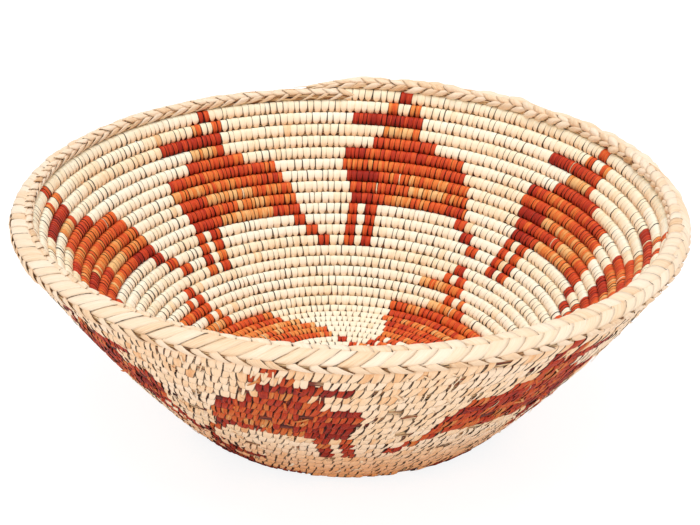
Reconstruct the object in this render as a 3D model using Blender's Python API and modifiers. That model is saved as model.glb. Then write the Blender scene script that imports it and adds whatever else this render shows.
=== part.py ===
"""Palm leaf bowl, coiled and wrapped.

A bundle of split palm leaf runs in one spiral from the centre of the floor up
to the rim. Strips of leaf wrap it round by round, and a braid covers the last
round. Metres, +Z up: the bowl stands on z = 0 and its axis is the Z axis.
The spiral grows anticlockwise seen from above, and ends at the back (+Y).
"""
import math

import bmesh
import bpy
from mathutils import Vector

MM = 0.001

# The bowl's own shape
FLOOR_RADIUS = 83.0 * MM          # middle of the coil where the flat floor ends
WALL_RUN = 150.0 * MM             # length of the wall from there to the rim, along its slope
WALL_SLOPE_FOOT = math.radians(46.5)
WALL_SLOPE_RIM = math.radians(58)
FLOOR_ROUNDS = 11
WALL_ROUNDS = 21
CORNER_ROUNDS = 2                 # the first wall rounds, over which the floor turns up
ROUND_GROWTH_SHARE = 0.12         # the wall's rounds are this much less than their mean at the foot, more at the rim
COIL_END_ANGLE = math.radians(91.5)

# The wrapped coil
ROUND_DEPTH = 11.0 * MM           # one round, measured through the wall
ROUND_GAP = 0.45 * MM             # air between one round and the next
STRIP_THICKNESS = 0.8 * MM        # the wrapping, two strips thick where they overlap
BUNDLE_CLEARANCE = 0.35 * MM      # between the bundle and the wrapping round it
CUT_GAP = 0.4 * MM                # between the end of one round's wrapping and the next

# The start knot and the rim braid
START_RADIUS = 9.0 * MM           # where the coil's middle starts, round the knot
KNOT_GAP = 0.4 * MM
KNOT_EDGE = 1.2 * MM
BRAID_DEPTH = 12.6 * MM
BRAID_HEIGHT = 8.6 * MM
BRAID_OVERLAP = 25.0 * MM         # how far the braid's end lies over its own start
BRAID_END_SHARE = 0.45            # how thick the braid is at its two tapered ends
BRAID_RISE_CORNERS = 3            # corners over which the braid climbs onto its own start

# How finely round shapes are drawn
ROUND_CORNERS = 16
WRAP_SIDES = 6
BUNDLE_SIDES = 4
BRAID_SIDES = 8
MERIDIAN_STEPS = 36               # steps per round when the bowl's profile is summed up
GAP_SAMPLES = 5                   # points per straight stretch when a tube's gap is measured

FLOOR_PITCH = (FLOOR_RADIUS - START_RADIUS) / FLOOR_ROUNDS
WALL_PITCH = WALL_RUN / WALL_ROUNDS
TURNS = FLOOR_ROUNDS + WALL_ROUNDS
# A wall round's flat side, which faces the next round, reaches this far from its middle
FLAT_HALF = ROUND_DEPTH / 4
# Rounds are cut in the middle of a straight stretch, so that the cut faces are parallel
START_ANGLE = COIL_END_ANGLE - math.pi / ROUND_CORNERS


def clear_scene():
    for old in list(bpy.data.objects):
        bpy.data.objects.remove(old, do_unlink=True)


def material(name, colour, roughness):
    made = bpy.data.materials.new(name)
    made.use_nodes = True
    shader = made.node_tree.nodes["Principled BSDF"]
    shader.inputs["Base Color"].default_value = (*colour, 1.0)
    shader.inputs["Roughness"].default_value = roughness
    shader.inputs["Metallic"].default_value = 0.0
    made.diffuse_color = (*colour, 1.0)
    return made


def slope_at(turn):
    """Slope of the wall at a place on the spiral, in radians from level."""
    climbed = (turn - FLOOR_ROUNDS) / CORNER_ROUNDS
    if climbed <= 0:
        return 0.0
    if climbed < 1:
        return WALL_SLOPE_FOOT * climbed * climbed * (3 - 2 * climbed)
    share = (turn - FLOOR_ROUNDS - CORNER_ROUNDS) / (WALL_ROUNDS - CORNER_ROUNDS)
    return WALL_SLOPE_FOOT + (WALL_SLOPE_RIM - WALL_SLOPE_FOOT) * share


def wall_pitch_at(turn):
    """Spacing of the wall's rounds, which grows evenly from the foot to the rim."""
    share = (turn - FLOOR_ROUNDS) / WALL_ROUNDS
    return WALL_PITCH * (1 + ROUND_GROWTH_SHARE * (2 * share - 1))


def pitch_at(turn):
    """Spacing of the rounds, the wider of the two pitches where floor meets wall."""
    if turn < FLOOR_ROUNDS - 1:
        return FLOOR_PITCH
    if turn > FLOOR_ROUNDS + 1:
        return wall_pitch_at(turn)
    return max(FLOOR_PITCH, wall_pitch_at(turn))


def sum_meridian():
    """The bowl's profile as (radius, height, slope), one entry for each small step.

    Where the slope turns, the rounds fan out, so that their inner edges don't pinch.
    """
    radius = START_RADIUS
    height = ROUND_DEPTH / 2
    profile = [(radius, height, 0.0)]
    for step in range((TURNS + 1) * MERIDIAN_STEPS):
        before = slope_at(step / MERIDIAN_STEPS)
        after = slope_at((step + 1) / MERIDIAN_STEPS)
        middle = (before + after) / 2
        length = pitch_at((step + 0.5) / MERIDIAN_STEPS) / MERIDIAN_STEPS + FLAT_HALF * (after - before)
        radius += length * math.cos(middle)
        height += length * math.sin(middle)
        profile.append((radius, height, after))
    return profile


MERIDIAN = sum_meridian()


def meridian_at(turn):
    place = turn * MERIDIAN_STEPS
    index = min(int(place), len(MERIDIAN) - 2)
    share = place - index
    return [a + (b - a) * share for a, b in zip(MERIDIAN[index], MERIDIAN[index + 1])]


def corner_point(turn, lift):
    """A corner of the spiral, lifted along the wall's slope."""
    radius, height, slope = meridian_at(turn)
    radius += lift * math.cos(slope)
    height += lift * math.sin(slope)
    angle = START_ANGLE + math.tau * turn
    return Vector((radius * math.cos(angle), radius * math.sin(angle), height))


def spiral_point(turn, lift=0.0):
    """A place on the straight stretch between two corners of the spiral."""
    index = math.floor(turn * ROUND_CORNERS)
    share = turn * ROUND_CORNERS - index
    before = corner_point(index / ROUND_CORNERS, lift)
    return before.lerp(corner_point((index + 1) / ROUND_CORNERS, lift), share)


def turns_in(length, turn):
    """A short length along the straight stretch at this place, in turns."""
    index = math.floor(turn * ROUND_CORNERS)
    stretch = corner_point((index + 1) / ROUND_CORNERS, 0) - corner_point(index / ROUND_CORNERS, 0)
    return length / (stretch.length * ROUND_CORNERS)


def cut_at(whole):
    """Where the wrapping is cut after a whole number of turns."""
    return whole + 0.5 / ROUND_CORNERS


def places_between(first, last):
    """The ends of a stretch of the spiral and every corner between them, in turns."""
    inner = range(math.floor(first * ROUND_CORNERS) + 1, math.ceil(last * ROUND_CORNERS))
    return [first, *(index / ROUND_CORNERS for index in inner), last]


def section(name, depth, height, sides, flat_ends=False):
    """A closed outline for a tube: depth goes through the wall, height along it.

    With flat ends, the outline has a flat side and not a corner at each end of its depth.
    """
    outline = bpy.data.curves.new(name, "CURVE")
    outline.dimensions = "2D"
    outline.fill_mode = "NONE"
    spline = outline.splines.new("POLY")
    spline.points.add(sides - 1)
    turned = 0.5 if flat_ends else 0.0
    angles = [-math.tau * (index + turned) / sides for index in range(sides)]
    widest = max(math.cos(angle) for angle in angles)
    tallest = max(math.sin(angle) for angle in angles)
    for point, angle in zip(spline.points, angles):
        point.co = (depth / 2 * math.cos(angle) / widest, height / 2 * math.sin(angle) / tallest, 0, 1)
    spline.use_cyclic_u = True
    guide = bpy.data.objects.new(name, outline)
    guide.hide_render = True
    guide.display_type = "WIRE"
    guides.objects.link(guide)
    return guide


def tube(name, places, outline, finish, lifts=None, widths=None, capped=True):
    """A tube along the spiral, its outline leaning with the wall."""
    curve = bpy.data.curves.new(name, "CURVE")
    curve.dimensions = "3D"
    curve.twist_mode = "Z_UP"
    curve.bevel_mode = "OBJECT"
    curve.bevel_object = outline
    curve.use_fill_caps = capped
    spline = curve.splines.new("POLY")
    spline.points.add(len(places) - 1)
    for index, place in enumerate(places):
        lift = lifts[index] if lifts else 0.0
        point = spline.points[index]
        point.co = (*spiral_point(place, lift), 1)
        point.tilt = -(math.pi / 2 + meridian_at(place)[2])
        point.radius = widths[index] if widths else 1.0
    made = bpy.data.objects.new(name, curve)
    curve.materials.append(finish)
    parts.objects.link(made)
    return made


def wrapping(name, whole, outline, finish):
    """The strips wrapped over one round of the bundle, as one open-ended sleeve."""
    first = cut_at(whole)
    last = cut_at(whole + 1)
    start = first + turns_in(CUT_GAP / 2, first)
    end = last - turns_in(CUT_GAP / 2, last)
    made = tube(name, places_between(start, end), outline, finish, capped=False)
    shell = made.modifiers.new("strip", "SOLIDIFY")
    shell.thickness = STRIP_THICKNESS
    shell.offset = -1
    shell.use_even_offset = True


def bundle_size(pitch, flat_ends=False):
    """Depth and height of the bundle, which fills the wrapping's bore corner to corner.

    The skin takes more away at the hexagon's two corners than at its flat sides.
    """
    skin = STRIP_THICKNESS + BUNDLE_CLEARANCE
    half_depth = ROUND_DEPTH / 2
    half_height = (pitch - ROUND_GAP) / 2
    if flat_ends:
        corner_skin = skin * math.hypot(half_depth, half_height / 2) / half_depth
        return 2 * (half_depth - skin), 2 * (half_height - corner_skin)
    corner_skin = skin * math.hypot(half_height, half_depth / 2) / half_height
    return 2 * (half_depth - corner_skin), 2 * (half_height - skin)


def report_gap(name, places, height, lifts=None):
    """Measure and print the least gap between a tube's own turns, on points along its middle."""
    lifts = lifts or [0.0] * len(places)
    turns = []
    middles = []
    for index in range(len(places) - 1):
        for sample in range(GAP_SAMPLES):
            share = sample / GAP_SAMPLES
            turns.append(places[index] + (places[index + 1] - places[index]) * share)
            lift = lifts[index] + (lifts[index + 1] - lifts[index]) * share
            middles.append(spiral_point(turns[-1], lift))
    least = math.inf
    for later, turn in enumerate(turns):
        for earlier, point in enumerate(middles[:later]):
            if 0.5 < turn - turns[earlier] < 1.5:
                least = min(least, (middles[later] - point).length)
    print(f"{name}: least gap to itself {(least - height) / MM:.2f} mm")


def start_knot():
    """The bent start of the bundle with strips tied over it, which fills the space inside the first round.

    Its outline follows the round's inner edge, with a step where the round starts.
    """
    edge_lift = -(FLOOR_PITCH - ROUND_GAP) / 2 - KNOT_GAP / math.cos(math.pi / ROUND_CORNERS)
    inner_radius = corner_point(0, edge_lift).xy.length
    step_place = 1 - KNOT_GAP / (math.tau * inner_radius)
    corners = [corner_point(index / ROUND_CORNERS, edge_lift).xy for index in range(1, ROUND_CORNERS)]
    step_out = spiral_point(step_place, edge_lift).xy
    corners += [step_out, step_out.normalized() * inner_radius]
    mesh = bpy.data.meshes.new("start_knot")
    shape = bmesh.new()
    under = [shape.verts.new((*corner, 0)) for corner in corners]
    upper = [shape.verts.new((*corner, ROUND_DEPTH)) for corner in corners]
    shape.faces.new(reversed(under))
    shape.faces.new(upper)
    for index in range(len(corners)):
        after = (index + 1) % len(corners)
        shape.faces.new((under[index], under[after], upper[after], upper[index]))
    shape.to_mesh(mesh)
    shape.free()
    mesh.materials.append(knot_strip)
    knot = bpy.data.objects.new("start_knot", mesh)
    edge = knot.modifiers.new("edge", "BEVEL")
    edge.width = min(KNOT_EDGE, inner_radius / 4)
    edge.segments = 2
    edge.limit_method = "ANGLE"
    parts.objects.link(knot)


def floor_pieces():
    """The floor: one flat spiral of bundle, and the wrapping of each round, flat underneath."""
    depth, height = bundle_size(FLOOR_PITCH, flat_ends=True)
    outline = section("floor_bundle_section", depth, height, BUNDLE_SIDES)
    end = cut_at(FLOOR_ROUNDS)
    places = places_between(0, end - turns_in(CUT_GAP / 2, end))
    tube("floor_bundle", places, outline, leaf_bundle)
    report_gap("floor_bundle", places, height)
    outline = section(
        "floor_wrap_section", ROUND_DEPTH, FLOOR_PITCH - ROUND_GAP, WRAP_SIDES, flat_ends=True
    )
    for whole in range(FLOOR_ROUNDS):
        wrapping(f"floor_wrap_{whole + 1:02d}", whole, outline, leaf_strip)


def wall_pieces():
    """The wall: the bundle climbs on to the rim, and each round has its wrapping, taller than the last."""
    depth, height = bundle_size(wall_pitch_at(FLOOR_ROUNDS))
    outline = section("wall_bundle_section", depth, height, BUNDLE_SIDES)
    start = cut_at(FLOOR_ROUNDS)
    places = places_between(start + turns_in(CUT_GAP / 2, start), cut_at(TURNS))
    tube("wall_bundle", places, outline, leaf_bundle)
    report_gap("wall_bundle", places, height)
    for whole in range(WALL_ROUNDS):
        height = wall_pitch_at(FLOOR_ROUNDS + whole) - ROUND_GAP
        outline = section(f"wall_wrap_section_{whole + 1:02d}", ROUND_DEPTH, height, WRAP_SIDES)
        wrapping(f"wall_wrap_{whole + 1:02d}", FLOOR_ROUNDS + whole, outline, leaf_strip)


def rim_braid():
    """The braid over the last round. Its end lies over its own tapered start."""
    outline = section("rim_braid_section", BRAID_DEPTH, BRAID_HEIGHT, BRAID_SIDES, flat_ends=True)
    coil_end = cut_at(TURNS)
    start = coil_end - 1 + turns_in(CUT_GAP, coil_end - 1)
    end = coil_end + turns_in(BRAID_OVERLAP, coil_end)
    last_round_height = wall_pitch_at(TURNS - 1) - ROUND_GAP
    on_round = last_round_height / 2 + ROUND_GAP + BRAID_HEIGHT / 2
    climb = BRAID_HEIGHT + ROUND_GAP - wall_pitch_at(TURNS - 0.5)
    rise_turns = BRAID_RISE_CORNERS / ROUND_CORNERS
    places = places_between(start, end)
    lifts = []
    widths = []
    for place in places:
        climbed = (place - (TURNS - rise_turns)) / rise_turns
        lifts.append(on_round + climb * min(max(climbed, 0.0), 1.0))
        widths.append(1.0)
    widths[0] = widths[-1] = BRAID_END_SHARE
    tube("rim_braid", places, outline, braid_strip, lifts=lifts, widths=widths)
    report_gap("rim_braid", places, BRAID_HEIGHT, lifts)


clear_scene()
parts = bpy.data.collections.new("palm_leaf_bowl")
guides = bpy.data.collections.new("sections")
bpy.context.scene.collection.children.link(parts)
bpy.context.scene.collection.children.link(guides)

leaf_bundle = material("leaf bundle", (0.50, 0.33, 0.16), 0.8)
leaf_strip = material("palm strip", (0.86, 0.73, 0.52), 0.55)
braid_strip = material("braided palm strip", (0.88, 0.76, 0.56), 0.55)
knot_strip = material("knotted palm strip", (0.80, 0.64, 0.42), 0.6)

start_knot()
floor_pieces()
wall_pieces()
rim_braid()

rim = meridian_at(TURNS - 0.5)
print(f"middle of the last round: radius {rim[0] / MM:.1f} mm, height {rim[1] / MM:.1f} mm")
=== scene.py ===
"""Palm leaf bowl: its looks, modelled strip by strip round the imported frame.

The coil is one bundle of leaf splints, wound from the centre of the floor to the rim. Each wrapped strip
is a closed ring round the bundle. The strips follow the same spiral as the frame's wrappings, and the dyed
ones draw the birds. Metres, +Z up.
"""
import math

import bpy
import numpy as np
from mathutils import Matrix, Vector


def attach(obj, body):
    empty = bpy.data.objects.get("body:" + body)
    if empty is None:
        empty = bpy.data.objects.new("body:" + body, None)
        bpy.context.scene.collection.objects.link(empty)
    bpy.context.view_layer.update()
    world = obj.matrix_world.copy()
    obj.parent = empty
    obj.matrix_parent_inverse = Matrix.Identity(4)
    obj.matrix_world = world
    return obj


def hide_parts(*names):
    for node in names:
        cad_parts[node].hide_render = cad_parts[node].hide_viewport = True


MM = 0.001

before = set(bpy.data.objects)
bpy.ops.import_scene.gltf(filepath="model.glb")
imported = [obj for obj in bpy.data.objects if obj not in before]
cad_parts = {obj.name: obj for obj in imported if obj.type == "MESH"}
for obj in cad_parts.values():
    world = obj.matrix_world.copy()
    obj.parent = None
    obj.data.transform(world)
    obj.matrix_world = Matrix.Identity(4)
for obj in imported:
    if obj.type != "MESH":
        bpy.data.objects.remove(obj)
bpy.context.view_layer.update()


# The camera, as the photograph was taken
PHOTO_WIDTH = 700
SENSOR_WIDTH = 36.0
FOCAL_PIXELS = 1727.4
CAMERA_PLACE = Vector((0.00152, -0.88691, 0.51722))
CAMERA_DOWN = math.radians(25.907)
CAMERA_ROLL = 0.02721

lens = bpy.data.cameras.new("camera")
lens.sensor_width = SENSOR_WIDTH
lens.lens = FOCAL_PIXELS * SENSOR_WIDTH / PHOTO_WIDTH
lens.clip_start = 0.01
lens.clip_end = 50.0
camera = bpy.data.objects.new("camera", lens)
bpy.context.scene.collection.objects.link(camera)
ahead = Vector((0, math.cos(CAMERA_DOWN), -math.sin(CAMERA_DOWN)))
right = Vector((1, 0, 0))
up = right.cross(ahead)
rolled_right = right * math.cos(CAMERA_ROLL) + up * math.sin(CAMERA_ROLL)
rolled_up = up * math.cos(CAMERA_ROLL) - right * math.sin(CAMERA_ROLL)
turned = Matrix((rolled_right, rolled_up, -ahead)).transposed()
camera.matrix_world = Matrix.Translation(CAMERA_PLACE) @ turned.to_4x4()
bpy.context.scene.camera = camera


# The bowl's own shape, as in the frame's source
FLOOR_RADIUS = 83.0 * MM
WALL_RUN = 150.0 * MM
WALL_SLOPE_FOOT = math.radians(46.5)
WALL_SLOPE_RIM = math.radians(58)
FLOOR_ROUNDS = 11
WALL_ROUNDS = 21
CORNER_ROUNDS = 2
ROUND_GROWTH_SHARE = 0.12
ROUND_CORNERS = 16
COIL_END_ANGLE = math.radians(91.5)
ROUND_DEPTH = 11.0 * MM
ROUND_GAP = 0.45 * MM
START_RADIUS = 9.0 * MM
BRAID_DEPTH = 12.6 * MM
BRAID_HEIGHT = 8.6 * MM
BRAID_OVERLAP = 25.0 * MM
BRAID_RISE_TURNS = 3 / ROUND_CORNERS
MERIDIAN_STEPS = 36

FLOOR_PITCH = (FLOOR_RADIUS - START_RADIUS) / FLOOR_ROUNDS
WALL_PITCH = WALL_RUN / WALL_ROUNDS
TURNS = FLOOR_ROUNDS + WALL_ROUNDS
FLAT_HALF = ROUND_DEPTH / 4
START_ANGLE = COIL_END_ANGLE - math.pi / ROUND_CORNERS
CUT_TURN = 0.5 / ROUND_CORNERS      # each round is cut this far past a whole turn
# Inside the first round the bundle's bent start goes on inwards, squeezed a little closer
BENT_START_TURN = -1.0
BENT_PITCH = 0.93 * FLOOR_PITCH


def slope_at(turn):
    """Slope of the bowl at a place on the spiral, in radians from level."""
    climbed = np.clip((turn - FLOOR_ROUNDS) / CORNER_ROUNDS, 0, 1)
    turned_up = WALL_SLOPE_FOOT * climbed * climbed * (3 - 2 * climbed)
    share = np.clip((turn - FLOOR_ROUNDS - CORNER_ROUNDS) / (WALL_ROUNDS - CORNER_ROUNDS), 0, None)
    return turned_up + (WALL_SLOPE_RIM - WALL_SLOPE_FOOT) * share


def wall_pitch_at(turn):
    share = (turn - FLOOR_ROUNDS) / WALL_ROUNDS
    return WALL_PITCH * (1 + ROUND_GROWTH_SHARE * (2 * share - 1))


def pitch_at(turn):
    """Spacing of the rounds, the wider of the two pitches where floor meets wall."""
    on_wall = wall_pitch_at(turn)
    near_corner = np.where(turn > FLOOR_ROUNDS + 1, on_wall, np.maximum(FLOOR_PITCH, on_wall))
    return np.where(turn < FLOOR_ROUNDS - 1, FLOOR_PITCH, near_corner)


STEP_TURNS = np.arange((TURNS + 1) * MERIDIAN_STEPS + 1) / MERIDIAN_STEPS
STEP_SLOPES = slope_at(STEP_TURNS)
step_middles = (STEP_SLOPES[1:] + STEP_SLOPES[:-1]) / 2
step_lengths = pitch_at((STEP_TURNS[1:] + STEP_TURNS[:-1]) / 2) / MERIDIAN_STEPS
step_lengths += FLAT_HALF * np.diff(STEP_SLOPES)
STEP_RADII = START_RADIUS + np.concatenate([[0], np.cumsum(step_lengths * np.cos(step_middles))])
STEP_HEIGHTS = ROUND_DEPTH / 2 + np.concatenate([[0], np.cumsum(step_lengths * np.sin(step_middles))])


def radius_at(turn):
    return np.interp(turn, STEP_TURNS, STEP_RADII) + BENT_PITCH * np.minimum(turn, 0)


def on_bowl(turn, face, along, around=0.0):
    """Points beside the coil's middle: face into the bowl, along up the wall, around the way it is wound."""
    radius = radius_at(turn)
    height = np.interp(turn, STEP_TURNS, STEP_HEIGHTS)
    slope = slope_at(turn)
    angle = START_ANGLE + math.tau * turn + around / radius
    out = radius + along * np.cos(slope) - face * np.sin(slope)
    lifted = height + along * np.sin(slope) + face * np.cos(slope)
    return np.stack(np.broadcast_arrays(out * np.cos(angle), out * np.sin(angle), lifted), -1)


def outline(angle, half_depth, half_height, power):
    """A rounded oblong section at an angle from its inner face: its points, and the way out from each."""
    cosine, sine = np.cos(angle), np.sin(angle)
    face = half_depth * np.sign(cosine) * np.abs(cosine) ** (2 / power)
    along = half_height * np.sign(sine) * np.abs(sine) ** (2 / power)
    out_face = np.sign(cosine) * np.abs(cosine) ** (2 - 2 / power) / half_depth
    out_along = np.sign(sine) * np.abs(sine) ** (2 - 2 / power) / half_height
    length = np.hypot(out_face, out_along)
    return face, along, out_face / length, out_along / length


# The birds: for each row down from the head, the dyed spans in degrees from the middle of the head, beak
# first, with the dye's tone at both ends
DARK = 0.06
RED = 0.3
FLAME = 0.5
ORANGE = 0.74
PALE = 0.9

UPPER_BIRD = (
    ((-1.3, 1.3, RED, RED),),
    ((-3.6, -1.4, ORANGE, FLAME), (1.3, 3.6, FLAME, FLAME)),
    ((-11.2, 4.4, DARK, RED),),
    ((-4.1, 2.6, ORANGE, PALE), (2.6, 4.3, RED, RED)),
    ((-6.2, 8.6, RED, RED),),
    ((-12.8, -8.0, DARK, RED), (-8.0, 12.4, FLAME, RED), (12.4, 16.2, FLAME, RED)),
    ((-13.3, 17.6, FLAME, RED),),
    ((-12.3, -4.2, DARK, DARK), (-4.2, 19.6, ORANGE, FLAME)),
    ((-11.5, 4.0, RED, RED), (4.0, 20.4, PALE, FLAME)),
    ((-10.9, -2.0, DARK, RED), (-2.0, 13.5, ORANGE, FLAME), (13.5, 21.2, RED, RED)),
    ((-11.6, -9.2, RED, RED), (-7.0, -3.8, RED, RED), (19.1, 22.4, RED, RED)),
    ((-12.0, -9.2, RED, RED), (-7.0, -4.1, RED, RED), (22.2, 25.8, RED, RED)),
    ((-12.5, -9.5, RED, RED), (-7.3, -4.3, RED, RED), (25.6, 29.2, RED, RED)),
    ((-12.8, -9.7, RED, RED), (-7.6, -4.6, RED, RED)),
)
LOWER_BIRD = (
    ((-1.9, 1.6, RED, RED),),
    ((-4.4, -2.0, DARK, ORANGE), (0.4, 3.6, DARK, RED)),
    ((-12.3, 4.2, FLAME, RED),),
    ((-0.7, 2.7, RED, RED), (5.4, 7.2, ORANGE, ORANGE)),
    ((-6.2, 6.0, ORANGE, FLAME), (6.0, 9.5, RED, RED)),
    ((-20.9, -14.0, FLAME, RED), (-14.0, -8.5, PALE, ORANGE), (-8.5, 27.6, RED, FLAME)),
    ((-20.3, 30.0, RED, RED),),
    ((-21.9, 36.8, FLAME, ORANGE),),
    ((-19.0, 43.0, RED, ORANGE),),
    ((-17.6, 48.6, RED, FLAME),),
    ((-16.6, 50.4, RED, FLAME),),
    ((-17.4, -12.4, RED, RED), (-9.2, -3.0, RED, RED), (53.6, 60.0, RED, RED)),
    ((-21.6, -15.8, RED, RED), (-13.6, -7.2, RED, RED), (62.2, 68.4, RED, RED)),
    ((-26.8, -20.4, FLAME, FLAME), (-18.6, -11.8, RED, RED)),
)
# Where each upper bird's head stands round the rim, how far its body is set towards the beak, in degrees,
# and how long its tail side is beside the chart
UPPER_BIRDS = (
    (174.9, 1.2, 1.13),
    (219.5, 1.0, 1.0),
    (258.7, 1.6, 0.83),
    (308.3, 0.6, 1.0),
    (350.1, 0.4, 1.0),
    (28.9, 1.7, 1.0),
    (78.5, 0.0, 1.0),
    (123.2, 1.7, 1.0),
)
# Where each lower bird's head stands on the spiral, in turns from the centre
LOWER_BIRDS = (17.191, 17.434, 17.678, 17.921)


def head_turn(angle):
    """The place on the last round at this angle round the rim."""
    past_cut = (math.radians(angle) - COIL_END_ANGLE) / math.tau % 1.0
    return TURNS - 1 + CUT_TURN + past_cut


BIRDS = [(head_turn(angle), towards_beak, tail, UPPER_BIRD) for angle, towards_beak, tail in UPPER_BIRDS]
BIRDS += [(turn, 0.0, 1.0, LOWER_BIRD) for turn in LOWER_BIRDS]


def dyed_spans():
    """Every dyed span as its first and last place on the spiral, in turns, with the tone at each."""
    spans = []
    for head, towards_beak, tail, rows in BIRDS:
        for row, row_spans in enumerate(rows):
            moved = towards_beak if row > 1 else 0.0
            for first, last, tone_first, tone_last in row_spans:
                beak_end, tail_end = (offset * tail if offset > 5 else offset for offset in (first, last))
                spans.append((
                    head - row - (tail_end - moved) / 360, head - row - (beak_end - moved) / 360,
                    tone_last, tone_first,
                ))
    return sorted(spans)


# Finishes
def linear(hex_colour):
    """An sRGB hex colour as linear red, green, blue and alpha."""
    channels = [int(hex_colour[index:index + 2], 16) / 255 for index in (1, 3, 5)]
    return [c / 12.92 if c <= 0.04045 else ((c + 0.055) / 1.055) ** 2.4 for c in channels] + [1.0]


def node(tree, kind, inputs=None, **settings):
    """Add a node with its settings, and set or link its inputs."""
    made = tree.nodes.new(kind)
    for name, value in settings.items():
        setattr(made, name, value)
    for name, value in (inputs or {}).items():
        socket = made.inputs[name]
        if isinstance(value, bpy.types.NodeSocket):
            tree.links.new(value, socket)
        else:
            socket.default_value = value
    return made


def ramp(tree, factor, stops):
    """A colour ramp through sRGB hex stops."""
    made = node(tree, "ShaderNodeValToRGB", {"Fac": factor})
    elements = made.color_ramp.elements
    while len(elements) < len(stops):
        elements.new(0.5)
    for element, (position, colour) in zip(elements, stops):
        element.position = position
        element.color = linear(colour)
    return made.outputs["Color"]


def mixed(tree, factor, first, second, blend_type="MIX"):
    made = node(tree, "ShaderNodeMix", data_type="RGBA", blend_type=blend_type)
    for index, value in ((0, factor), (6, first), (7, second)):
        if isinstance(value, bpy.types.NodeSocket):
            tree.links.new(value, made.inputs[index])
        else:
            made.inputs[index].default_value = value
    return made.outputs[2]


def new_finish(name, roughness):
    finish = bpy.data.materials.new(name)
    finish.use_nodes = True
    shader = finish.node_tree.nodes["Principled BSDF"]
    shader.inputs["Roughness"].default_value = roughness
    return finish, finish.node_tree, shader


def fibre_lines(tree, coordinates, fine, long):
    """Fine lines that run along a strip: noise stretched to its length. Scales are lines per millimetre."""
    stretched = node(
        tree, "ShaderNodeVectorMath", {0: coordinates, 1: (long, fine, 1.0)}, operation="MULTIPLY"
    ).outputs[0]
    noise = node(
        tree, "ShaderNodeTexNoise", {"Vector": stretched, "Scale": 1.0, "Detail": 3.0, "Roughness": 0.6}
    )
    return noise.outputs["Fac"]


def strip_finish(name, tones, roughness, shine, fineness, streaks, wear_and_shade_colour, wear_and_shade_amount, edge_colour, bump):
    """Palm leaf strip, split and pulled round the coil: satin, with lines along it, browner cut edges
    darkened further as painted shade in the slits, and a warm tint that is partly wear and mostly painted
    shade.
    """
    finish, tree, shader = new_finish(name, roughness)
    shader.inputs["Specular IOR Level"].default_value = shine
    tone = node(tree, "ShaderNodeAttribute", attribute_name="tone").outputs["Fac"]
    strip = node(tree, "ShaderNodeAttribute", attribute_name="strip").outputs["Vector"]
    edge = node(tree, "ShaderNodeAttribute", attribute_name="edge").outputs["Fac"]
    wear_and_painted_shade = node(tree, "ShaderNodeAttribute", attribute_name="wear_and_painted_shade").outputs["Fac"]
    lines = fibre_lines(tree, strip, fineness, 0.06)
    blotches = fibre_lines(tree, strip, 0.35, 0.1)
    streaked = node(tree, "ShaderNodeMath", {0: lines, 1: -0.5}, operation="ADD").outputs[0]
    uneven = node(tree, "ShaderNodeMath", {0: blotches, 1: -0.5}, operation="ADD").outputs[0]
    toned = node(tree, "ShaderNodeMath", {0: uneven, 1: 0.45, 2: tone}, operation="MULTIPLY_ADD").outputs[0]
    toned = node(
        tree, "ShaderNodeMath", {0: streaked, 1: streaks, 2: toned}, operation="MULTIPLY_ADD"
    ).outputs[0]
    colour = ramp(tree, toned, tones)
    # The worn tint is partly wear and mostly painted shade: peach-tan at the strips' feet and on the outer
    # face
    wear_and_shade_mix = node(tree, "ShaderNodeMath", {0: wear_and_painted_shade, 1: wear_and_shade_amount}, operation="MULTIPLY").outputs[0]
    colour = mixed(tree, wear_and_shade_mix, colour, linear(wear_and_shade_colour), "MULTIPLY")
    # Browner cut edges, darkened further as painted shade in the slits between strips
    browned_and_slit_shaded = node(
        tree, "ShaderNodeMapRange",
        {"Value": edge, "From Min": 0.78, "From Max": 0.92, "To Min": 0.0, "To Max": 0.95},
    ).outputs[0]
    colour = mixed(tree, browned_and_slit_shaded, colour, linear(edge_colour))
    tree.links.new(colour, shader.inputs["Base Color"])
    raised = node(
        tree, "ShaderNodeBump", {"Height": lines, "Strength": 0.35, "Distance": bump}
    )
    tree.links.new(raised.outputs["Normal"], shader.inputs["Normal"])
    return finish


# Undyed palm leaf, split into strips and dried: cream where smooth, peach where the leaf was thicker, satin
palm_strip = strip_finish(
    "split_palm_leaf_undyed",
    ((0.0, "#FFFBE6"), (0.35, "#FCF0D0"), (0.65, "#F4D3A2"), (1.0, "#D99C5E")),
    0.5, 0.35, 1.6, 0.6, "#F8A254", 0.86, "#2B1609", 0.08 * MM,
)
# Palm leaf strip boiled in plant dye: deep red to orange, unevenly taken up, so each strip has its own tone
dyed_strip = strip_finish(
    "split_palm_leaf_dyed_red",
    ((0.0, "#A02414"), (0.25, "#CE4020"), (0.5, "#E8622A"), (0.75, "#F09446"), (1.0, "#F8C888")),
    0.55, 0.18, 1.6, 1.0, "#8E4030", 0.9, "#1A0402", 0.08 * MM,
)
# The rim's strips are wider and flatter leaf, paler than the wrapping, with long fine veins
braid_strip = strip_finish(
    "plaited_palm_leaf_undyed",
    ((0.0, "#F5E2CA"), (0.4, "#EED0AD"), (0.68, "#DEB284"), (1.0, "#A06A38")),
    0.5, 0.3, 2.2, 0.85, "#F0C090", 0.6, "#3E240E", 0.1 * MM,
)


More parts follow.
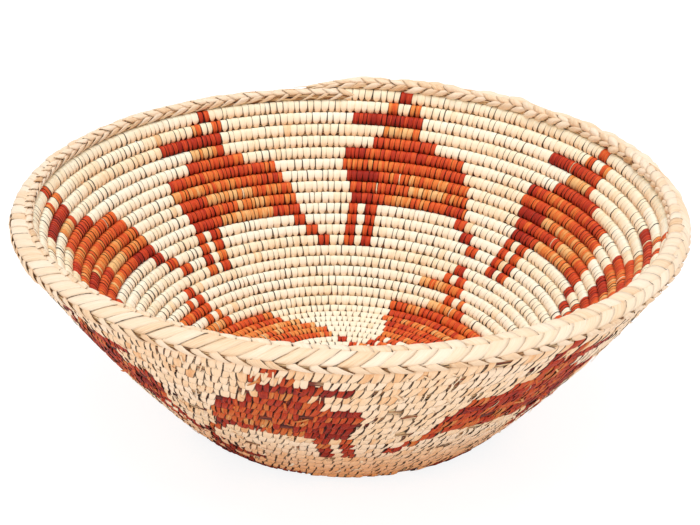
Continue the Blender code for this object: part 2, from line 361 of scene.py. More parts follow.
def bundle_finish(name, dyed_share):
    """Raw split fibre, matt, in pale and near-black streaks, with a share of dyed splints in between. The
    near-black is partly painted shade, so that the gaps between strips and the braid's notches read dark.

    Where the wrapping over it is dyed the splints have taken up dye too.
    """
    finish, tree, shader = new_finish(name, 0.75)
    strip = node(tree, "ShaderNodeAttribute", attribute_name="strip").outputs["Vector"]
    splints = fibre_lines(tree, strip, 1.1, 0.06)
    # The darkest stop is painted shade for the gaps between strips and the notches in the braid
    colour = ramp(tree, splints, ((0.41, "#241005"), (0.47, "#8A5228"), (0.53, "#D0A068"), (0.6, "#F4DEB4")))
    carried = fibre_lines(tree, strip, 0.5, 0.02)
    carried = node(
        tree, "ShaderNodeMapRange",
        {"Value": carried, "From Min": 0.56, "From Max": 0.6, "To Max": dyed_share},
    ).outputs[0]
    colour = mixed(tree, carried, colour, linear("#8C2C14"))
    soaked = node(tree, "ShaderNodeAttribute", attribute_name="soaked").outputs["Fac"]
    colour = mixed(tree, soaked, colour, linear("#94402A"), "MULTIPLY")
    tree.links.new(colour, shader.inputs["Base Color"])
    raised = node(tree, "ShaderNodeBump", {"Height": splints, "Strength": 0.7, "Distance": 0.4 * MM})
    tree.links.new(raised.outputs["Normal"], shader.inputs["Normal"])
    return finish


# Leaf splints bundled inside the coil, and the braid's own folded strips, of which only cut edges show
bundle = bundle_finish("bundled_palm_splints", 1.0)
braid_folds = bundle_finish("folded_palm_leaf_in_the_braid", 0.0)


# Mesh making
def mesh_from(name, points, quads, layers):
    """A smooth mesh from arrays of points and four-sided faces, with a value or vector at each point."""
    mesh = bpy.data.meshes.new(name)
    mesh.vertices.add(len(points))
    mesh.vertices.foreach_set("co", points.astype(np.float32).ravel())
    mesh.loops.add(quads.size)
    mesh.loops.foreach_set("vertex_index", quads.astype(np.int32).ravel())
    mesh.polygons.add(len(quads))
    mesh.polygons.foreach_set("loop_start", np.arange(0, quads.size, 4, dtype=np.int32))
    mesh.polygons.foreach_set("use_smooth", np.ones(len(quads), dtype=bool))
    for layer, values in layers.items():
        values = values.astype(np.float32)
        is_vector = values.ndim == 2
        attribute = mesh.attributes.new(layer, "FLOAT_VECTOR" if is_vector else "FLOAT", "POINT")
        attribute.data.foreach_set("vector" if is_vector else "value", values.ravel())
    mesh.update(calc_edges=True)
    return mesh


def add_piece(name, mesh, finish, slot, *nodes):
    mesh.materials.append(finish)
    made = bpy.data.objects.new(name, mesh)
    bpy.context.scene.collection.objects.link(made)
    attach(made, "root")
    if nodes:
        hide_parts(*nodes)
    return made


def grid_quads(count, rows, columns, rows_closed, columns_closed):
    """Faces of many grids of points, each with its rows, its columns or both joined end to end."""
    row = np.arange(rows if rows_closed else rows - 1)
    column = np.arange(columns if columns_closed else columns - 1)
    row, column = np.meshgrid(row, column, indexing="ij")
    next_row, next_column = (row + 1) % rows, (column + 1) % columns
    one = np.stack(
        [row * columns + column, next_row * columns + column,
         next_row * columns + next_column, row * columns + next_column], -1
    ).reshape(-1, 4)
    return (one[None] + (np.arange(count) * rows * columns)[:, None, None]).reshape(-1, 4)


# The wrapped strips. RING are the places round the coil, from underneath, up the inner face, over the top
# and down the outer face. A strip is full width on the inner face and narrows to its foot, where it goes in
# between two others.
RING = np.radians(np.arange(-90, 270, 20))
INNER_WIDTH_SHARES = np.array(
    [0.3, 0.4, 0.62, 0.86, 1.0, 1.04, 1.04, 1.02, 0.98, 0.92, 0.96, 1.0, 1.02, 1.0, 0.96, 0.88, 0.74, 0.5]
)
ACROSS_SHARES = np.array([-1.0, -0.84, 0.0, 0.84, 1.0, 0.88, -0.88])
STRIP_DOME = np.array([-0.1, 0.09, 0.18, 0.09, -0.1, -0.5, -0.5]) * MM
# How strong the painted shade of the dark slit beside a strip is at each of the places, and how a strip's
# foot laps over the round below on the outer face
SLIT_SHADE_SHARES = np.array(
    [1.1, 1.1, 1.0, 0.92, 0.86, 0.74, 0.62, 0.64, 0.75, 0.8, 0.7, 0.6, 0.8, 1.1, 2.0, 4.0, 4.6, 3.4]
)
LAP_ALONG_SHARES = np.array([0, 0, 0, 0, 0, 0, 0, 0, 0, 0, 0, 0, 0, 0, 0.15, 0.5, 1.0, 0.4])
LAP_OUT = np.array([0, 0, 0, 0, 0, 0, 0, 0, 0, 0, 0, 0, 0, 0, 0, 0.1, 0.75, 0.5]) * MM
PATCH_STRIPS = 2
PATCH_SHARE = 0.05
BARE_SINK = 1.5 * MM
INNER_POWER_WALL = 3.0
INNER_POWER_FLOOR = 3.4
OUTER_POWER = 3.6
UNDYED_PITCH = 4.4 * MM
DYED_PITCH = 3.4 * MM
FLOOR_STITCH_SHARE = 0.86
START_STITCH_SHARE = 0.55
INNER_LEAN = -0.06
OUTER_LEAN = 0.3

rng = np.random.default_rng(52)


def walk_coil():
    """Every strip's place, half width, tone, dye and strip number, from the centre to the end of the coil."""
    stretches = []
    reached = BENT_START_TURN
    for first, last, tone_first, tone_last in dyed_spans():
        first = max(first, reached)
        if first - reached > 1e-6:
            stretches.append((reached, first, None, None))
        stretches.append((first, last, tone_first, tone_last))
        reached = last
    stretches.append((reached, TURNS + CUT_TURN, None, None))
    rows = []
    number = 0
    for first, last, tone_first, tone_last in stretches:
        dyed = tone_first is not None
        turn = first
        run_left = 0
        shift = (rng.random() - 0.5) * 0.24
        while last - turn > 1e-7:
            draws = rng.random(8)
            reach = math.tau * float(radius_at(turn))
            pitch = DYED_PITCH if dyed else UNDYED_PITCH
            if turn < CUT_TURN:
                pitch *= START_STITCH_SHARE
            elif turn < FLOOR_ROUNDS:
                pitch *= FLOOR_STITCH_SHARE
            strips_left = max(1, round((last - turn) * reach / pitch))
            step = (last - turn) / strips_left
            if strips_left > 1:
                step *= 0.72 + 0.5 * draws[2]
            if run_left == 0:
                run_left = int(3 + draws[0] * 9)
                run_tone = draws[1]
                number += 1
            run_left -= 1
            sliver = dyed and strips_left > 3 and draws[3] < 0.02
            if sliver:
                step *= 0.22
            if sliver:
                tone = 0.45
            elif dyed:
                share = (turn + step / 2 - first) / (last - first)
                tone = tone_first + (tone_last - tone_first) * share
                tone += shift + (run_tone - 0.5) * 0.24 + (draws[5] - 0.5) * (0.16 + 0.5 * tone)
                tone += 0.07 + 0.04 * min(max((20 - turn) / 3, 0.0), 1.0)
            else:
                tone = shift + 0.3 * run_tone + 0.16 * draws[5] + (0.35 if draws[6] < 0.015 else 0.0)
                # Undyed strips are set paler lower in the bowl: painted light against the deeper shade there
                tone -= 0.11 * min(max((28 - turn) / 8, 0.0), 1.0)
            gap = 0.22 * draws[4] ** 2 * MM
            rows.append((turn + step / 2, (step * reach - gap) / 2, tone, dyed and not sliver, number))
            turn += step
    return [np.array(column) for column in zip(*rows)]


def ring_strips(turns, widths, tones, numbers, place, half_depths, half_heights, inner_power, lapped, slit_shade,
                outer_tone=0.0, foot_shade=1.0):
    """Closed rings round the coil, one for each strip, as points and the layers that the finish reads."""
    count = len(turns)
    draws = rng.random((count, 11))
    spread = (count, 1, 1)
    ring = RING[None, :, None]
    cosine = np.cos(ring)
    power = np.where(cosine > 0, inner_power.reshape(spread), OUTER_POWER)
    lapped = np.broadcast_to(lapped, spread)
    half_depth = half_depths.reshape(spread)
    half_height = half_heights.reshape(spread)
    face, along, out_face, out_along = outline(ring, half_depth, half_height, power)
    lap = (0.3 + 1.5 * draws[:, 10]).reshape(spread) * MM * lapped
    along = along - lap * LAP_ALONG_SHARES[None, :, None]
    face = face - LAP_OUT[None, :, None] * lapped
    inner = np.clip((1 + cosine * 1.6) / 2, 0, 1)
    outer = 1 - inner
    # On the outer face a few strips run under the splints and leave them bare, as where a new one was laid in
    outer_width = 1.04 - 0.2 * draws[:, 0] ** 2 - 0.7 * (draws[:, 1] < 0.04)
    patches = rng.random(count // PATCH_STRIPS + 1).repeat(PATCH_STRIPS)[:count] < PATCH_SHARE
    bare = (patches * lapped.reshape(-1)).reshape(spread)
    foot = 1 + (draws[:, 2] - 0.4) * 0.8
    shares = INNER_WIDTH_SHARES[None, :, None] * np.where(
        np.arange(len(RING))[None, :, None] < 3, foot.reshape(spread), 1.0
    )
    shares = np.minimum(shares, 1.05) * (inner + outer * outer_width.reshape(spread))
    half_width = widths.reshape(spread) * shares
    across = ACROSS_SHARES[None, None, :]
    tilt = ((draws[:, 3] - 0.35) * 0.26 * MM).reshape(spread)
    proud = ((draws[:, 4] - 0.5) * MM).reshape(spread) * (0.16 * inner + 0.6 * outer)
    proud = proud - BARE_SINK * bare * outer
    dome = STRIP_DOME[None, None, :] * (inner + outer * 0.35)
    raised = dome + tilt * across + proud
    lean_in = INNER_LEAN + (draws[:, 5] - 0.5) * 0.12
    lean_out = OUTER_LEAN + (draws[:, 6] - 0.5) * 0.4
    lean = inner * lean_in.reshape(spread) + outer * lean_out.reshape(spread)
    around = half_width * across + lean * along
    points = place(turns.reshape(spread), face + out_face * raised, along + out_along * raised, around)
    # The dark slit beside each strip, strongest at the outer feet: painted shade in the gaps, on top of the
    # browner cut edge
    slit_shade_strengths = 1.7 * rng.random((count, 1, 2)) ** 2 + 0.35 * rng.random((count, len(RING), 2))
    slit_shade_strengths = np.minimum(slit_shade_strengths * SLIT_SHADE_SHARES[None, :, None] * slit_shade, 1.45)[:, :, (ACROSS_SHARES > 0).astype(int)]
    # Lengths along the strip in millimetres, from underneath the coil
    ring_face = np.broadcast_to(face, (count, len(RING), 1))[:, :, 0]
    ring_along = np.broadcast_to(along, (count, len(RING), 1))[:, :, 0]
    steps = np.hypot(np.diff(ring_face, axis=1), np.diff(ring_along, axis=1))
    lengths = np.concatenate([np.zeros((count, 1)), np.cumsum(steps, axis=1)], axis=1) / MM
    shape = points.shape[:3]
    strip = np.stack(
        [
            np.broadcast_to(lengths[:, :, None] + (draws[:, 7] * 90).reshape(spread), shape),
            np.broadcast_to(half_width * across / MM, shape),
            np.broadcast_to((numbers * 7.31 + draws[:, 8] * 3).reshape(spread), shape),
        ],
        -1,
    )
    # The foot of each strip and the outer face are tinted darker and warmer: partly wear, mostly painted
    # shade under each round, on the downward outer face and on the lower outer wall. The feet are tinted less
    # deep in the bowl, where the rendered shade is deeper.
    low = np.clip((0.3 - np.sin(ring)) / 1.3, 0, 1) * inner * (0.34 + 0.27 * lapped)
    low = low * np.clip((turns.reshape(spread) + 2) / 30, 0.65, 1) * foot_shade
    near_foot = np.clip((20 - turns.reshape(spread)) / 7, 0, 1)
    wear_and_painted_shade = np.clip(low + outer * (0.42 + 0.56 * near_foot), 0, 1)
    # The palest strips are bleached on the inside only, where the light falls
    bleached = 0.75 * np.clip(tones - 0.6, 0, None)
    # Each strip's outer face takes its own tone; outer_tone sets it darker than the inner face, partly its
    # own colour and partly painted shade on the downward face
    outer_shift = (draws[:, 9] - 0.5) * 0.4 + outer_tone - bleached
    outer_tones = tones.reshape(spread) + outer * outer_shift.reshape(spread)
    layers = {
        "tone": np.broadcast_to(outer_tones, shape).ravel(),
        "strip": strip.reshape(-1, 3),
        "edge": (np.abs(across) * (0.74 + 0.26 * slit_shade_strengths)).ravel(),
        "wear_and_painted_shade": np.broadcast_to(wear_and_painted_shade, shape).ravel(),
    }
    return points.reshape(-1, 3), layers


def join(strips):
    """Several sets of strips as one set of points, faces and layers."""
    offset = 0
    quads = []
    for points, faces, _ in strips:
        quads.append(faces + offset)
        offset += len(points)
    layers = {key: np.concatenate([layer[key] for _, _, layer in strips]) for key in strips[0][2]}
    return np.concatenate([points for points, _, _ in strips]), np.concatenate(quads), layers


def end_caps(count, rows, columns):
    """Faces that close both ends of ribbons with an even number of points round their section."""
    step = np.arange(columns // 2 - 1)
    cap = np.stack([step, step + 1, columns - 2 - step, columns - 1 - step], -1)
    caps = np.concatenate([cap, cap[:, ::-1] + (rows - 1) * columns])
    return (caps[None] + (np.arange(count) * rows * columns)[:, None, None]).reshape(-1, 4)


LOOSE_SHARE = 0.085
LOOSE_ROWS = 6
TUFT_ANGLES = (256.6, 257.4, 257.9, 258.6, 259.6, 260.8)


def loose_ends(turns, tones, shortest, longest, heading, fan):
    """Cut and split ends of strips that stand off the outer face, as thin curved ribbons."""
    count = len(turns)
    draws = rng.random((count, 8))
    spread = (count, 1, 1)
    share = np.linspace(0, 1, LOOSE_ROWS)[None, :, None]
    side = np.array([-1.0, 1.0, 1.0, -1.0])[None, None, :]
    layer = np.array([0.0, 0.0, 1.0, 1.0])[None, None, :]
    heading = np.radians(heading + fan * (draws[:, 0] - 0.5)).reshape(spread)
    length = (shortest + (longest - shortest) * draws[:, 1] ** 2).reshape(spread) * MM
    half_width = (0.3 + 0.6 * draws[:, 2]).reshape(spread) * MM * (1 - 0.6 * share ** 2)
    curl = (0.2 + 0.9 * draws[:, 3] ** 2).reshape(spread) * MM
    start = ((draws[:, 4] - 0.3) * 4.0).reshape(spread) * MM
    reach = length * share
    along = start + reach * np.sin(heading) + half_width * side * np.cos(heading)
    around = reach * np.cos(heading) - half_width * side * np.sin(heading)
    lifted = 0.5 * MM * np.sin(np.pi * share) + curl * share ** 2 + 0.14 * MM * layer
    face = -(ROUND_DEPTH / 2 - 0.4 * MM + lifted)
    points = on_bowl(turns.reshape(spread), face, along, around)
    shape = points.shape[:3]
    strip = np.stack(
        [
            np.broadcast_to((reach + draws[:, 5].reshape(spread)) / MM, shape),
            np.broadcast_to(half_width * side / MM, shape),
            np.broadcast_to((draws[:, 6] * 90).reshape(spread), shape),
        ],
        -1,
    )
    layers = {
        "tone": np.broadcast_to((tones + 0.1).reshape(spread), shape).ravel(),
        "strip": strip.reshape(-1, 3),
        "edge": np.broadcast_to(0.68 + 0.16 * layer * share ** 2, shape).ravel(),
        "wear_and_painted_shade": np.full(points.size // 3, 0.35),
    }
    quads = np.concatenate([grid_quads(count, LOOSE_ROWS, 4, False, True), end_caps(count, LOOSE_ROWS, 4)])
    return points.reshape(-1, 3), quads, layers


def strips_piece(name, chosen, finish, slot, node_name, coil):
    """One round's strips of one finish as a piece."""
    turns, widths, tones, numbers = (column[chosen] for column in coil)
    inner_power = np.where(turns < FLOOR_ROUNDS + 0.5, INNER_POWER_FLOOR, INNER_POWER_WALL)
    lapped = np.clip(turns - FLOOR_ROUNDS, 0, 1).reshape(-1, 1, 1)
    # Dyed strips get stronger painted slit shade, a darker outer face and more painted shade at their feet
    slit_shade = (0.7 + 0.3 * lapped) * (1.6 if finish == dyed_strip else 1.0)
    points, layers = ring_strips(
        turns, widths, tones, numbers, on_bowl,
        np.full(len(turns), ROUND_DEPTH / 2 - 0.3 * MM), pitch_at(turns) / 2 + 0.25 * MM, inner_power, lapped,
        slit_shade, outer_tone=-0.09 if finish == dyed_strip else 0.06,
        foot_shade=1.5 if finish == dyed_strip else 1.0,
    )
    strips = [(points, grid_quads(len(turns), len(RING), len(ACROSS_SHARES), True, True), layers)]
    ragged = (turns > FLOOR_ROUNDS + 3) & (rng.random(len(turns)) < LOOSE_SHARE)
    if ragged.any():
        strips.append(loose_ends(turns[ragged], tones[ragged], 2.5, 9.0, -90, 150))
    if node_name == "start_knot":
        strips.append(knot_ring())
    if name == "wall_wrap_21_strips":
        tuft = np.array([head_turn(angle) for angle in TUFT_ANGLES])
        strips.append(loose_ends(tuft, np.full(len(tuft), 0.3), 8.0, 14.0, -112, 40))
    add_piece(name, mesh_from(name, *join(strips)), finish, slot, node_name)


# The very start: a short bight of the bundle in the middle of its own bent start, wrapped all round
KNOT_RADIUS = 1.5 * MM
KNOT_OFF_CENTRE = 1.9 * MM
KNOT_ANGLE = START_ANGLE - math.radians(62)
KNOT_STRIPS = 9


def on_knot(turn, face, along, around):
    angle = math.tau * turn + around / KNOT_RADIUS
    out = KNOT_RADIUS + along
    x = KNOT_OFF_CENTRE * math.cos(KNOT_ANGLE) + out * np.cos(angle)
    y = KNOT_OFF_CENTRE * math.sin(KNOT_ANGLE) + out * np.sin(angle)
    return np.stack(np.broadcast_arrays(x, y, ROUND_DEPTH / 2 + face), -1)


def knot_ring():
    places = (np.arange(KNOT_STRIPS) + rng.random(KNOT_STRIPS) * 0.3) / KNOT_STRIPS
    points, layers = ring_strips(
        places, np.full(KNOT_STRIPS, math.pi * KNOT_RADIUS / KNOT_STRIPS * 1.02),
        0.2 + 0.3 * rng.random(KNOT_STRIPS), np.arange(KNOT_STRIPS) + 900, on_knot,
        np.full(KNOT_STRIPS, ROUND_DEPTH / 2 - 0.3 * MM), np.full(KNOT_STRIPS, KNOT_RADIUS * 0.94),
        np.full(KNOT_STRIPS, 2.4), 0.0, 1.0,
    )
    return points, grid_quads(KNOT_STRIPS, len(RING), len(ACROSS_SHARES), True, True), layers


turns, widths, tones, dyed, numbers = walk_coil()
coil = (turns, widths, tones, numbers)
strips_piece("start_knot_strips", turns < CUT_TURN, palm_strip, "palm_strip", "start_knot", coil)
round_of = np.floor(turns - CUT_TURN).astype(int)
for whole in range(TURNS):
    on_floor = whole < FLOOR_ROUNDS
    node_name = f"floor_wrap_{whole + 1:02d}" if on_floor else f"wall_wrap_{whole - FLOOR_ROUNDS + 1:02d}"
    here = round_of == whole
    strips_piece(f"{node_name}_strips", here & ~dyed, palm_strip, "palm_strip", node_name, coil)
    if (here & dyed).any():
        strips_piece(f"{node_name}_dyed", here & dyed, dyed_strip, "dyed_strip", node_name, coil)


# The bundle of splints inside the wrapping, as one ridged tube on the floor and one on the wall
BUNDLE_POINTS = 24
BUNDLE_STEPS = 180
BUNDLE_DEPTH_SHARE = 0.86


def bundle_piece(name, first, last):
    count = int((last - first) * BUNDLE_STEPS) + 1
    turn = np.linspace(first, last, count)[:, None]
    angle = np.linspace(0, math.tau, BUNDLE_POINTS, endpoint=False)[None, :]
    face, along, out_face, out_along = outline(
        angle, ROUND_DEPTH / 2 * BUNDLE_DEPTH_SHARE, pitch_at(turn) / 2 - 0.35 * MM, 2.6
    )
    ridges = (rng.random((count, BUNDLE_POINTS)) - 0.5) * 0.25 * MM
    ridges += (rng.random((1, BUNDLE_POINTS)) - 0.6) * 0.5 * MM
    points = on_bowl(turn, face + out_face * ridges, along + out_along * ridges)
    length = np.cumsum(math.tau * radius_at(turn) / BUNDLE_STEPS, axis=0) / MM
    strip = np.stack(
        np.broadcast_arrays(length, angle * ROUND_DEPTH / 2 / MM, np.zeros_like(angle)), -1
    ).reshape(-1, 3)
    around = grid_quads(1, count, BUNDLE_POINTS, False, True)
    quads = np.concatenate([around, end_caps(1, count, BUNDLE_POINTS)])
    soaked = np.zeros((count, BUNDLE_POINTS))
    for span_first, span_last, _, _ in dyed_spans():
        soaked[(turn[:, 0] > span_first - 0.009) & (turn[:, 0] < span_last + 0.009)] = 1.0
    mesh = mesh_from(name, points.reshape(-1, 3), quads[:, ::-1], {"strip": strip, "soaked": soaked.ravel()})
    add_piece(name, mesh, bundle, "leaf_bundle", name.replace("_splints", ""))


bundle_piece("floor_bundle_splints", BENT_START_TURN - 0.2, FLOOR_ROUNDS + CUT_TURN)
bundle_piece("wall_bundle_splints", FLOOR_ROUNDS + CUT_TURN, TURNS + CUT_TURN)


# The rim braid. Its strips cross the rim in four bands, each leaning the other way from the band beside it,
# and dive under each other where the bands meet.
BRAID_POWER = 2.2
BRAID_START = TURNS - 1 + CUT_TURN - 5.0 * MM / (math.tau * float(radius_at(TURNS)))
BRAID_END = TURNS + CUT_TURN + BRAID_OVERLAP / (math.tau * float(radius_at(TURNS)))
BRAID_ON_ROUND = (float(wall_pitch_at(TURNS - 1)) - ROUND_GAP) / 2 + ROUND_GAP + BRAID_HEIGHT / 2
BRAID_CLIMB = BRAID_HEIGHT + ROUND_GAP - float(wall_pitch_at(TURNS - 0.5)) - 1.4 * MM
BRAID_START_TAPER = 7.0 * MM
BRAID_START_SHARE = 0.7
BRAID_END_TAPER = 34.0 * MM
BRAID_END_SHARE = 0.22
BRAID_PITCH = 9.0 * MM
BRAID_SINK = 0.5 * MM            # how far the strips press down over the last round
# First and last angle from the inner face, lean, then half width and the width at both ends as shares, and
# how far one edge lies over the strip beside it
BRAID_BANDS = (
    (-86.0, 4.0, -1.15, 0.5, 0.8, 0.8, 0.35 * MM),
    (-10.0, 52.0, 0.9, 0.6, 0.85, 0.85, 0.5 * MM),
    (36.0, 140.0, -1.3, 0.66, 0.9, 0.85, 0.3 * MM),
    (130.0, 250.0, 0.95, 0.52, 0.6, 0.3, 0.38 * MM),
)
# At the front right the braid has turned outwards, so that the seam between its second and third bands lies
# on top of the rim: how many degrees it turns, where it turns most, and the share that the first and last
# angle of each band take of it
BRAID_ROLL = 46.0
BRAID_ROLL_ANGLE = math.radians(-32)
BRAID_ROLL_SHARES = ((0.0, 0.0), (0.0, 1.0), (1.0, 0.15), (0.15, 0.0))
BRAID_SPREAD = 1.4 * MM          # how much wider the strips lie than the frame's oval, on the inner side
BRAID_OPEN_STRIPS = 5             # the first strips inside, which stand apart and show the bundle
BRAID_SLACK_ANGLE = math.radians(42)     # where round the rim the strips are pulled least tight and bulge
BRAID_ROWS = 11
BRAID_ACROSS = np.array([-1.0, -0.5, 0.0, 0.5, 1.0])


def braid_size(turn):
    """How full the braid is: it tapers at both ends."""
    per_turn = math.tau * radius_at(TURNS)
    from_start = np.clip((turn - BRAID_START) * per_turn / BRAID_START_TAPER, 0, 1)
    from_end = np.clip((BRAID_END - turn) * per_turn / BRAID_END_TAPER, 0, 1)
    start_size = BRAID_START_SHARE + (1 - BRAID_START_SHARE) * from_start
    end_size = BRAID_END_SHARE + (1 - BRAID_END_SHARE) * from_end ** 0.8
    return np.minimum(start_size, end_size)


def on_braid(turn, angle, raised, around):
    """Points on the braid, raised off its oval, at an angle from its inner face."""
    place_turn = turn + around / (math.tau * radius_at(turn))
    size = braid_size(place_turn)
    half_depth = (BRAID_DEPTH + BRAID_SPREAD) / 2
    face, along, out_face, out_along = outline(angle, half_depth, BRAID_HEIGHT / 2 - 0.3 * MM, BRAID_POWER)
    face = face + BRAID_SPREAD / 2
    climbed = np.clip((place_turn - (TURNS - BRAID_RISE_TURNS)) / BRAID_RISE_TURNS, 0, 1)
    lift = BRAID_ON_ROUND - BRAID_SINK + BRAID_CLIMB * climbed - (1 - size) * BRAID_HEIGHT / 2 * 0.8
    face = (face + out_face * raised) * size
    return on_bowl(turn, face, lift + (along + out_along * raised) * size, around)


def braid_strips():
    strips = []
    for band, (first, last, lean, width_share, start_share, end_share, overlap) in enumerate(BRAID_BANDS):
        count = int((BRAID_END - BRAID_START) * math.tau * float(radius_at(TURNS - 0.5)) / BRAID_PITCH)
        draws = rng.random((count, 10))
        spread = (count, 1, 1)
        share = np.linspace(0, 1, BRAID_ROWS)[None, :, None]
        middle_angle = np.radians(first + (last - first) * share)
        middle = (np.arange(count) + 0.3 + (draws[:, 0] - 0.5) * 0.24 + 0.15 * band) / count
        turn = (BRAID_START + (BRAID_END - BRAID_START) * middle).reshape(spread)
        rolled = np.clip(np.cos(START_ANGLE + math.tau * turn - BRAID_ROLL_ANGLE), 0, 1) ** 1.5
        first_rolled, last_rolled = (BRAID_ROLL * share_of * rolled for share_of in BRAID_ROLL_SHARES[band])
        begins = first + first_rolled + ((draws[:, 7] - 0.5) * 10).reshape(spread)
        ends_at = last + last_rolled + ((draws[:, 8] - 0.5) * 10).reshape(spread)
        angle = np.radians(begins + (ends_at - begins) * share)
        face, along, _, _ = outline(middle_angle[0, :, 0], BRAID_DEPTH / 2, BRAID_HEIGHT / 2, BRAID_POWER)
        steps = np.hypot(np.diff(face), np.diff(along))
        reach = np.concatenate([[0], np.cumsum(steps)])
        reach = (reach - reach[-1] / 2)[None, :, None] * (1 + (last_rolled - first_rolled) / (last - first))
        half_width = BRAID_PITCH * (width_share + (draws[:, 1] - 0.6) * 0.15)
        if band == 0:
            half_width *= np.clip(0.45 + (middle * count - BRAID_OPEN_STRIPS) * 0.3, 0.45, 1)
        half_width = half_width.reshape(spread)
        across = BRAID_ACROSS[None, None, :]
        ends = np.clip((np.abs(share - 0.5) - 0.3) / 0.2, 0, 1)
        start = (start_share + (draws[:, 5] - 0.5) * (1 - start_share) * 0.9).reshape(spread)
        narrowed = (start + (1 - start) * np.clip(share / 0.35, 0, 1))
        narrowed = narrowed * (1 - (1 - end_share) * np.clip((share - 0.5) / 0.5, 0, 1))
        side = 1.0 if lean > 0 else -1.0
        lap = overlap * across
        bowed = np.sin(np.pi * share) ** 2 * draws[:, 6].reshape(spread)
        slack = np.clip(np.cos(START_ANGLE + math.tau * turn - BRAID_SLACK_ANGLE), 0, 1) ** 4
        crown = (0.22 + (0.5 + 2.2 * slack) * bowed + 0.35 * slack) * MM * (1 - across ** 2)
        dip = 1.3 * MM * ends ** 1.5 * (0.6 - 0.4 * across * side)
        uneven = (draws[:, 2] - 0.5).reshape(spread) * (0.5 + 0.7 * slack) * MM
        raised = -0.2 * MM + lap + crown - dip + uneven
        lean = (lean + (draws[:, 9] - 0.5) * 0.22).reshape(spread)
        around = lean * reach + half_width * narrowed * across
        outer = on_braid(turn, angle, raised, around)
        inner = on_braid(turn, angle, raised - 0.5 * MM, lean * reach + half_width * narrowed * across * 0.96)
        points = np.concatenate([outer, inner[:, :, ::-1]], axis=2)
        across_all = np.concatenate([BRAID_ACROSS, BRAID_ACROSS[::-1] * 0.96])
        shape = points.shape[:3]
        strip = np.stack(
            [
                np.broadcast_to(reach * np.hypot(1, lean) / MM + (draws[:, 3] * 200).reshape(spread), shape),
                np.broadcast_to(half_width * across_all[None, None, :] / MM, shape),
                np.broadcast_to((draws[:, 4] * 40).reshape(spread), shape),
            ],
            -1,
        )
        # Dark lines at each braid strip's sides and ends: browner cut edges, partly painted shade where
        # strips lie over and dive under each other
        lines = 0.64 + 0.24 * rng.random((count, 1, 1)) + 0.12 * rng.random((count, BRAID_ROWS, 1)) ** 2
        lines = lines + ends * (0.08 + 0.3 * rng.random((count, 1, 1)))
        edge = np.abs(across_all)[None, None, :] ** 4 * lines
        tone = 0.05 + 0.4 * draws[:, 5] + 0.3 * (draws[:, 6] < 0.06)
        # The braid's lower outer side and the strip ends, where they dive under others, take the worn tint:
        # painted shade
        outside = np.clip((np.degrees(angle) - 120) / 100, 0, 1) * 0.5
        strips.append((
            points.reshape(-1, 3),
            np.concatenate([
                grid_quads(count, BRAID_ROWS, len(across_all), False, True),
                end_caps(count, BRAID_ROWS, len(across_all)),
            ]),
            {
                "tone": np.broadcast_to(tone.reshape(spread), shape).ravel(),
                "strip": strip.reshape(-1, 3),
                "edge": np.broadcast_to(edge, shape).ravel(),
                "wear_and_painted_shade": np.broadcast_to(outside + 0.25 * ends, shape).ravel(),
            },
        ))
    return strips


braid_mesh = mesh_from("rim_braid_strips", *join(braid_strips()))
add_piece("rim_braid_strips", braid_mesh, braid_strip, "palm_braid", "rim_braid")


def braid_core():
    """The folded strips inside the braid, seen as dark notches between its bands; their near-black streaks
    are partly painted shade.
    """
    count = 320
    turn = np.linspace(BRAID_START, BRAID_END, count)[:, None]
    angle = np.linspace(0, math.tau, 16, endpoint=False)[None, :]
    raised = np.full((count, 16), -1.1 * MM) + (rng.random((count, 16)) - 0.5) * 0.3 * MM
    # The core fills the gap down to the round it is plaited over
    raised = raised + 1.2 * MM * np.clip(-np.sin(angle), 0, 1)
    points = on_braid(turn, angle, raised, np.zeros((1, 1)))
    length = turn * math.tau * float(radius_at(TURNS)) / MM
    strip = np.stack(np.broadcast_arrays(length, angle * BRAID_DEPTH / 2 / MM, np.zeros_like(angle)), -1)
    quads = np.concatenate([grid_quads(1, count, 16, False, True), end_caps(1, count, 16)])
    return mesh_from(
        "rim_braid_core", points.reshape(-1, 3), quads[:, ::-1],
        {"strip": strip.reshape(-1, 3), "soaked": np.zeros(strip.size // 3)},
    )


add_piece("rim_braid_core", braid_core(), braid_folds, "palm_braid", "rim_braid")


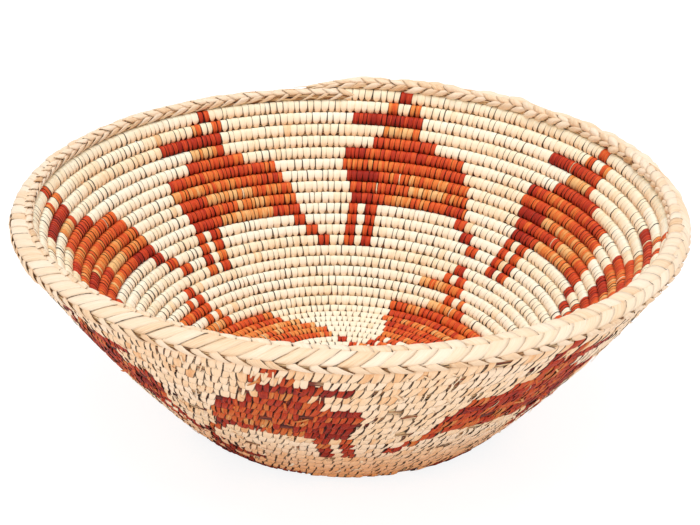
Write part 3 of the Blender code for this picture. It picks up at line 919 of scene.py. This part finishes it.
# The stage: a pale floor and soft studio light
stage_finish, tree, shader = new_finish("pale_studio_floor", 0.9)
shader.inputs["Specular IOR Level"].default_value = 0.1
camera_ray = node(tree, "ShaderNodeLightPath").outputs["Is Camera Ray"]
glow = node(tree, "ShaderNodeMath", {0: camera_ray, 1: 0.86}, operation="MULTIPLY").outputs[0]
tree.links.new(mixed(tree, camera_ray, linear("#F4F4F4"), linear("#8A8A8A")), shader.inputs["Base Color"])
tree.links.new(glow, shader.inputs["Emission Strength"])
shader.inputs["Emission Color"].default_value = (1, 1, 1, 1)
floor_mesh = bpy.data.meshes.new("studio_floor")
FLOOR_HALF = 6.0
floor_mesh.from_pydata(
    [(-FLOOR_HALF, -FLOOR_HALF, 0), (FLOOR_HALF, -FLOOR_HALF, 0), (FLOOR_HALF, FLOOR_HALF, 0),
     (-FLOOR_HALF, FLOOR_HALF, 0)],
    [], [(0, 1, 2, 3)],
)
floor_mesh.materials.append(stage_finish)
floor = bpy.data.objects.new("studio_floor", floor_mesh)
bpy.context.scene.collection.objects.link(floor)

world = bpy.data.worlds.new("studio")
world.use_nodes = True
bpy.context.scene.world = world
tree = world.node_tree
background = tree.nodes["Background"]
path = node(tree, "ShaderNodeLightPath")
shown = node(
    tree, "ShaderNodeMath",
    {0: path.outputs["Is Camera Ray"], 1: path.outputs["Is Glossy Ray"]}, operation="MAXIMUM",
).outputs[0]
shown = node(
    tree, "ShaderNodeMath", {0: shown, 1: path.outputs["Is Transmission Ray"]}, operation="MAXIMUM"
).outputs[0]
WORLD_LIGHT = 0.74
strength = node(
    tree, "ShaderNodeMapRange", {"Value": shown, "To Min": WORLD_LIGHT, "To Max": 1.0}
).outputs[0]
tree.links.new(strength, background.inputs["Strength"])
background.inputs["Color"].default_value = (1, 1, 1, 1)


def soft_sun(name, strength, softness, from_direction):
    lamp = bpy.data.lights.new(name, "SUN")
    lamp.energy = strength
    lamp.angle = math.radians(softness)
    made = bpy.data.objects.new(name, lamp)
    made.rotation_euler = Vector(from_direction).to_track_quat("Z", "Y").to_euler()
    bpy.context.scene.collection.objects.link(made)


soft_sun("overhead_softbox", 1.34, 40, (0.0, -0.12, 1.0))
soft_sun("front_fill", 0.7, 60, (-0.34, -1.0, 0.14))
soft_sun("right_fill", 0.13, 60, (1.0, -0.3, 0.35))

bpy.context.scene.view_settings.view_transform = "Standard"
